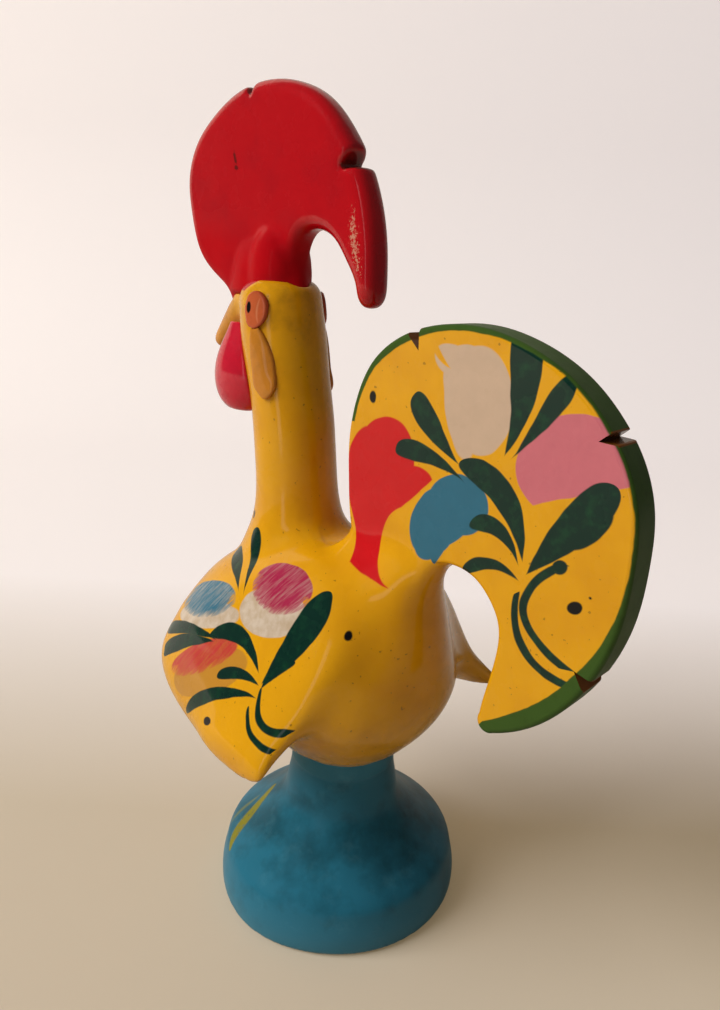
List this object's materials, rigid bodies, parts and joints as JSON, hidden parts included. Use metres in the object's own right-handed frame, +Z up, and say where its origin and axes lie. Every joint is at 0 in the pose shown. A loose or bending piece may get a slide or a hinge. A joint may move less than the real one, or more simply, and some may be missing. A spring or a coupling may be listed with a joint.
{
  "type": "rooster figurine",
  "caption": "Painted clay rooster with a tall neck, a hooked comb, a broad hooked tail and swept wings, standing on a bell-shaped foot.",
  "frame": {"origin": "middle of the foot, on the surface that it stands on", "axes": "+Z up, the bird looks along -Y, +X towards its left side"},
  "size_m": [0.09, 0.1623, 0.2389],
  "materials": {
    "base_blue": "satin blue-green enamel on clay",
    "body_yellow": "glossy yellow enamel on clay",
    "comb_red": "glossy red enamel on clay",
    "tail_yellow": "glossy yellow enamel with painted leaves and petals",
    "beak_ochre": "glossy ochre enamel on clay",
    "wattle_red": "glossy red enamel on clay",
    "ear_lobe_ochre": "glossy ochre enamel on clay",
    "eye_orange": "glossy orange enamel on clay"
  },
  "bodies": {
    "root": {"base": "base_blue", "body": "body_yellow", "neck_and_head": "body_yellow", "left_wing": "body_yellow", "right_wing": "body_yellow", "comb": "comb_red", "tail": "tail_yellow", "beak": "beak_ochre", "left_wattle": "wattle_red", "right_wattle": "wattle_red", "left_ear_lobe": "ear_lobe_ochre", "right_ear_lobe": "ear_lobe_ochre", "left_eye": "eye_orange", "right_eye": "eye_orange"}
  },
  "joints": []
}
